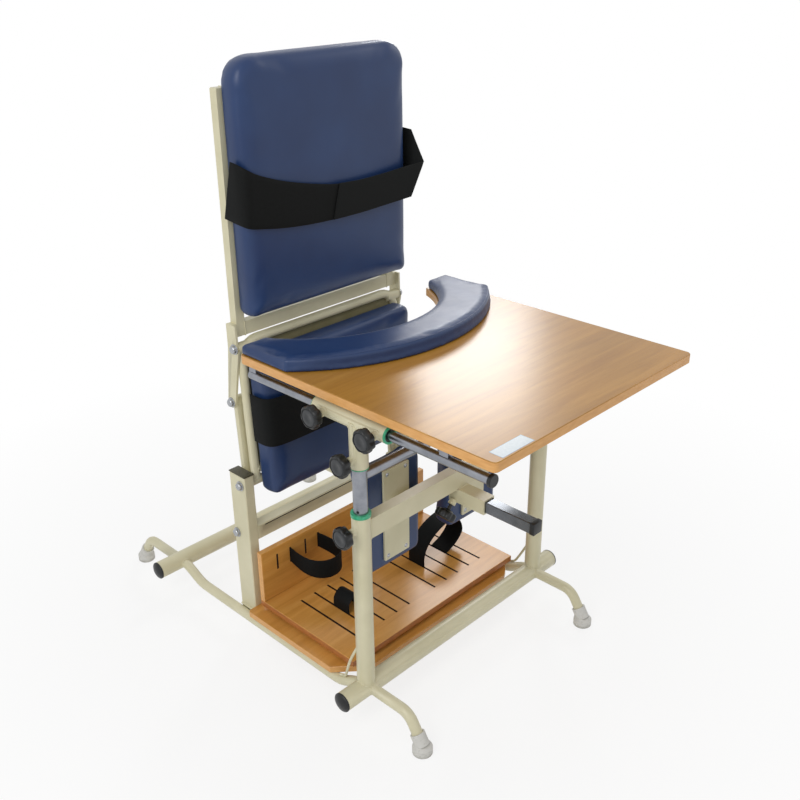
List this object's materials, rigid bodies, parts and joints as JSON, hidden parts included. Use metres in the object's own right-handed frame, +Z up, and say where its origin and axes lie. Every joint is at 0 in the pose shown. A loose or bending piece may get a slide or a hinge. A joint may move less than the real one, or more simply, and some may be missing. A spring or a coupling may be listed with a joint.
{
  "type": "sit-to-stand walker",
  "caption": "Standing frame on a steel base with rubber feet: slotted foot board, knee pads, a sliding lift table with elbow pad, and a hip and back pad on a parallel linkage.",
  "frame": {"origin": "on the floor, in the middle of the box round the whole object", "axes": "+Z up, -Y towards the table's front edge (the way the user faces), +X on the user's left"},
  "size_m": [0.85, 1.416, 1.535],
  "materials": {
    "cream_paint": "gloss powder coat",
    "chrome": "polished",
    "beech_laminate": "gloss laminate",
    "blue_vinyl": "satin vinyl",
    "black_webbing": "woven, matte",
    "green_nylon": "turned nylon",
    "white_rubber": "moulded",
    "black_plastic": "moulded"
  },
  "bodies": {
    "base": {"crossbar_front": "cream_paint", "crossbar_rear": "cream_paint", "side_rail_left": "cream_paint", "side_rail_right": "cream_paint", "front_post_left": "cream_paint", "front_post_right": "cream_paint", "collar_left": "green_nylon", "collar_right": "green_nylon", "middle_bar": "cream_paint", "lower_board": "beech_laminate", "foot_board": "beech_laminate", "heel_board": "beech_laminate", "heel_strap_left": "black_webbing", "heel_strap_right": "black_webbing", "toe_strap_left": "black_webbing", "toe_strap_right": "black_webbing", "rear_post_left": "cream_paint", "rear_post_right": "cream_paint", "rear_tie": "cream_paint", "seat_bolt_left": "chrome", "seat_bolt_right": "chrome", "link_bolt_left": "chrome", "link_bolt_right": "chrome", "foot_tip_front_left": "white_rubber", "foot_tip_front_right": "white_rubber", "foot_tip_rear_left": "white_rubber", "foot_tip_rear_right": "white_rubber"},
    "seat": {"seat_frame": "cream_paint", "hip_pad": "blue_vinyl", "hip_strap": "black_webbing"},
    "back": {"back_frame": "cream_paint", "back_pad": "blue_vinyl", "chest_strap": "black_webbing"},
    "link_left": {"link_left": "cream_paint"},
    "link_right": {"link_right": "cream_paint"},
    "carriage": {"inner_post_left": "chrome", "inner_post_right": "chrome", "cross_tube": "chrome", "tee_left": "cream_paint", "tee_right": "cream_paint"},
    "table": {"table_rail_left": "chrome", "table_rail_right": "chrome", "tabletop": "beech_laminate", "elbow_pad": "blue_vinyl"},
    "knee_support": {"knee_arm": "chrome", "knee_bracket": "cream_paint", "knee_pad_left": "blue_vinyl", "knee_pad_right": "blue_vinyl"},
    "knob_knee": {"knob_knee": "black_plastic"},
    "knob_post_left": {"knob_post_left": "black_plastic"},
    "knob_tee_left": {"knob_tee_left": "black_plastic"},
    "knob_rail_front_left": {"knob_rail_front_left": "black_plastic"},
    "knob_rail_rear_left": {"knob_rail_rear_left": "black_plastic"},
    "knob_post_right": {"knob_post_right": "black_plastic"},
    "knob_tee_right": {"knob_tee_right": "black_plastic"},
    "knob_rail_front_right": {"knob_rail_front_right": "black_plastic"},
    "knob_rail_rear_right": {"knob_rail_rear_right": "black_plastic"}
  },
  "joints": [
    {"name": "seat_swing", "type": "hinge", "parent": "base", "child": "seat", "pos_m": [0, 0.162, 0.467], "axis": [-1, 0, 0], "range_deg": [0, 85]},
    {"name": "back_swing", "type": "hinge", "parent": "seat", "child": "back", "pos_m": [0, 0.18, 0.838], "axis": [-1, 0, 0], "range_deg": [-85, 0]},
    {"name": "link_swing_left", "type": "hinge", "parent": "base", "child": "link_left", "pos_m": [0.271, 0.194, 0.311], "axis": [-1, 0, 0], "range_deg": [0, 85]},
    {"name": "link_swing_right", "type": "hinge", "parent": "base", "child": "link_right", "pos_m": [-0.271, 0.194, 0.311], "axis": [-1, 0, 0], "range_deg": [0, 85]},
    {"name": "carriage_lift", "type": "slide", "parent": "base", "child": "carriage", "axis": [0, 0, 1], "range_m": [-0.075, 0.15]},
    {"name": "table_slide", "type": "slide", "parent": "carriage", "child": "table", "axis": [0, 1, 0], "range_m": [-0.2, 0.02]},
    {"name": "knee_slide", "type": "slide", "parent": "base", "child": "knee_support", "axis": [0, 1, 0], "range_m": [-0.02, 0.12]},
    {"name": "knob_knee_turn", "type": "hinge", "parent": "base", "child": "knob_knee", "pos_m": [-0.02652, -0.31, 0.47648], "axis": [-0.7071, 0, -0.7071], "range_deg": [0, 540]},
    {"name": "knob_post_left_turn", "type": "hinge", "parent": "base", "child": "knob_post_left", "pos_m": [0.3695, -0.31, 0.552], "axis": [1, 0, 0], "range_deg": [0, 540]},
    {"name": "knob_tee_left_turn", "type": "hinge", "parent": "carriage", "child": "knob_tee_left", "pos_m": [0.3685, -0.31, 0.735], "axis": [1, 0, 0], "range_deg": [0, 540]},
    {"name": "knob_rail_front_left_turn", "type": "hinge", "parent": "carriage", "child": "knob_rail_front_left", "pos_m": [0.367, -0.385, 0.823], "axis": [1, 0, 0], "range_deg": [0, 540]},
    {"name": "knob_rail_rear_left_turn", "type": "hinge", "parent": "carriage", "child": "knob_rail_rear_left", "pos_m": [0.367, -0.222, 0.823], "axis": [1, 0, 0], "range_deg": [0, 540]},
    {"name": "knob_post_right_turn", "type": "hinge", "parent": "base", "child": "knob_post_right", "pos_m": [-0.3695, -0.31, 0.552], "axis": [-1, 0, 0], "range_deg": [0, 540]},
    {"name": "knob_tee_right_turn", "type": "hinge", "parent": "carriage", "child": "knob_tee_right", "pos_m": [-0.3685, -0.31, 0.735], "axis": [-1, 0, 0], "range_deg": [0, 540]},
    {"name": "knob_rail_front_right_turn", "type": "hinge", "parent": "carriage", "child": "knob_rail_front_right", "pos_m": [-0.367, -0.385, 0.823], "axis": [-1, 0, 0], "range_deg": [0, 540]},
    {"name": "knob_rail_rear_right_turn", "type": "hinge", "parent": "carriage", "child": "knob_rail_rear_right", "pos_m": [-0.367, -0.222, 0.823], "axis": [-1, 0, 0], "range_deg": [0, 540]}
  ],
  "couplings": [
    {"joint": "back_swing", "follows": "seat_swing", "ratio": -1},
    {"joint": "link_swing_left", "follows": "seat_swing", "ratio": 1},
    {"joint": "link_swing_right", "follows": "seat_swing", "ratio": 1}
  ]
}
